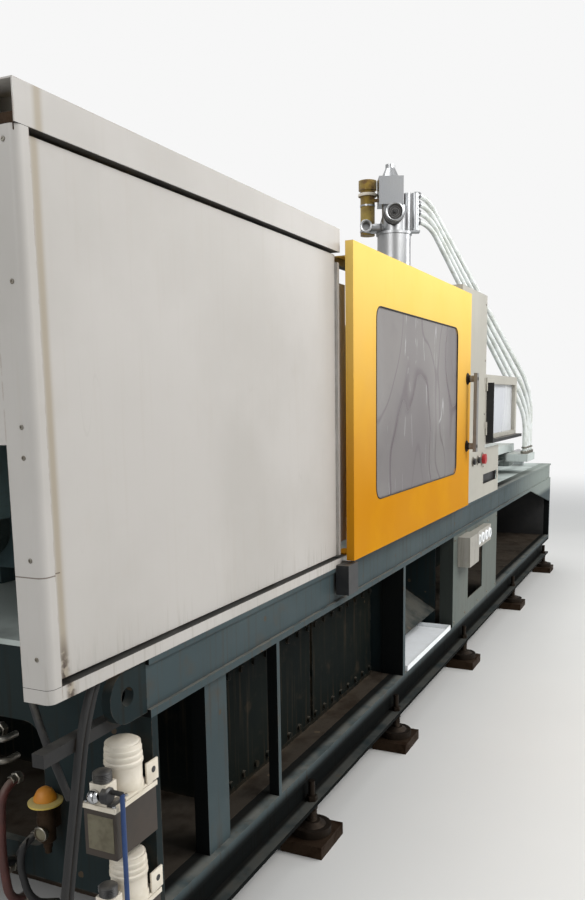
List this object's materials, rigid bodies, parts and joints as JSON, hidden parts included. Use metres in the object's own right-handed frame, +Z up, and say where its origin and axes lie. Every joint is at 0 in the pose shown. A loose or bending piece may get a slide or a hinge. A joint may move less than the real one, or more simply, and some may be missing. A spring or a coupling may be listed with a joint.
{
  "type": "injection moulding machine",
  "caption": "Horizontal injection moulding machine with a ram clamp, sliding safety gate, screw injection unit, hopper loader and an open steel base on levelling feet.",
  "frame": {"origin": "on the floor, under the middle of the machine's length and width", "axes": "+X along the machine to the injection end, -Y to the operator, +Z up"},
  "size_m": [6.7, 1.616, 3.115],
  "materials": {
    "base_paint": "satin, dusty",
    "tank_paint": "satin, oily",
    "cast_paint": "painted",
    "cover_paint": "satin, stained",
    "panel_paint": "satin",
    "gate_paint": "semi-gloss",
    "clear_sheet": "cloudy, scratched",
    "black_plastic": "matte",
    "red_plastic": "gloss",
    "rubber": "matte",
    "steel": "oiled",
    "bright_steel": "polished",
    "stainless": "brushed",
    "filter_cloth": "mottled",
    "white_hose": "translucent",
    "white_plastic": "glossy",
    "cream_plastic": "satin, dusty",
    "amber_plastic": "translucent, stained",
    "rusty_iron": "rusty, greasy"
  },
  "bodies": {
    "machine": {"bottom_rails": "base_paint", "base_plates": "base_paint", "top_rails": "base_paint", "base_posts": "base_paint", "bulkheads": "base_paint", "end_frame": "base_paint", "base_side_panels": "base_paint", "tank_covers": "base_paint", "oil_tank": "tank_paint", "drop_chute": "tank_paint", "pump_set": "tank_paint", "rear_platen": "cast_paint", "clamp_cylinder": "cast_paint", "stationary_platen": "cast_paint", "roof_cover": "cover_paint", "side_frame": "cover_paint", "side_panel": "cover_paint", "rear_cover": "cover_paint", "end_panel": "cover_paint", "corner_posts": "cover_paint", "operator_panel": "panel_paint", "electrical_boxes": "panel_paint", "gate_stop_block": "black_plastic", "lube_lines": "rubber", "tie_bar_nuts": "steel", "gate_tracks": "steel", "tie_bars": "bright_steel", "guide_rods": "bright_steel", "drop_tray": "white_plastic", "lube_pumps": "cream_plastic", "lube_reservoirs": "amber_plastic", "foot_blocks": "rusty_iron", "levelling_feet": "rusty_iron"},
    "gate": {"front_gate": "gate_paint", "front_gate_window": "clear_sheet", "front_gate_handle": "black_plastic"},
    "back_gate": {"rear_gate": "gate_paint"},
    "clamp": {"moving_platen": "cast_paint", "slide_shoes": "steel", "clamp_ram": "bright_steel"},
    "ejector": {"ejector_rod": "bright_steel"},
    "carriage": {"injection_carriage": "cast_paint", "barrel": "steel", "heater_bands": "steel", "injection_cylinders": "cast_paint", "hopper": "stainless", "loader": "stainless", "suction_motor": "black_plastic", "filter_sleeve": "filter_cloth", "loader_hoses": "white_hose"},
    "injector": {"crosshead": "cast_paint", "drive_motor": "base_paint"},
    "plasticiser": {"screw": "bright_steel"},
    "guard": {"barrel_guard": "panel_paint", "guard_seal": "rubber", "guard_window": "clear_sheet"},
    "shutter": {"slide_gate": "steel"},
    "button_a": {"left_button": "black_plastic"},
    "button_b": {"right_button": "black_plastic"},
    "button_stop": {"stop_button": "red_plastic"}
  },
  "joints": [
    {"name": "gate_slide", "type": "slide", "parent": "machine", "child": "gate", "axis": [-1, 0, 0], "range_m": [0, 1.4]},
    {"name": "rear_gate_slide", "type": "slide", "parent": "machine", "child": "back_gate", "axis": [-1, 0, 0], "range_m": [0, 1.4]},
    {"name": "clamp_slide", "type": "slide", "parent": "machine", "child": "clamp", "axis": [1, 0, 0], "range_m": [0, 0.65]},
    {"name": "ejector_slide", "type": "slide", "parent": "clamp", "child": "ejector", "axis": [1, 0, 0], "range_m": [0, 0.15]},
    {"name": "carriage_slide", "type": "slide", "parent": "machine", "child": "carriage", "axis": [1, 0, 0], "range_m": [0, 0.3]},
    {"name": "injection_slide", "type": "slide", "parent": "carriage", "child": "injector", "axis": [1, 0, 0], "range_m": [0, 0.32]},
    {"name": "screw_spin", "type": "hinge", "parent": "injector", "child": "plasticiser", "pos_m": [1.15, 0, 1.5], "axis": [1, 0, 0], "continuous": true},
    {"name": "barrel_guard_hinge", "type": "hinge", "parent": "machine", "child": "guard", "pos_m": [0.578, -0.706, 1.525], "axis": [0, 0, -1], "range_deg": [0, 110]},
    {"name": "feed_shutter_slide", "type": "slide", "parent": "carriage", "child": "shutter", "axis": [0, 1, 0], "range_m": [0, 0.075]},
    {"name": "left_button_press", "type": "slide", "parent": "machine", "child": "button_a", "axis": [0, 1, 0], "range_m": [0, 0.005], "stiffness_N_per_m": 400, "springref_m": -0.002},
    {"name": "right_button_press", "type": "slide", "parent": "machine", "child": "button_b", "axis": [0, 1, 0], "range_m": [0, 0.005], "stiffness_N_per_m": 400, "springref_m": -0.002},
    {"name": "stop_button_press", "type": "slide", "parent": "machine", "child": "button_stop", "axis": [0, 1, 0], "range_m": [0, 0.005], "stiffness_N_per_m": 400, "springref_m": -0.002}
  ]
}
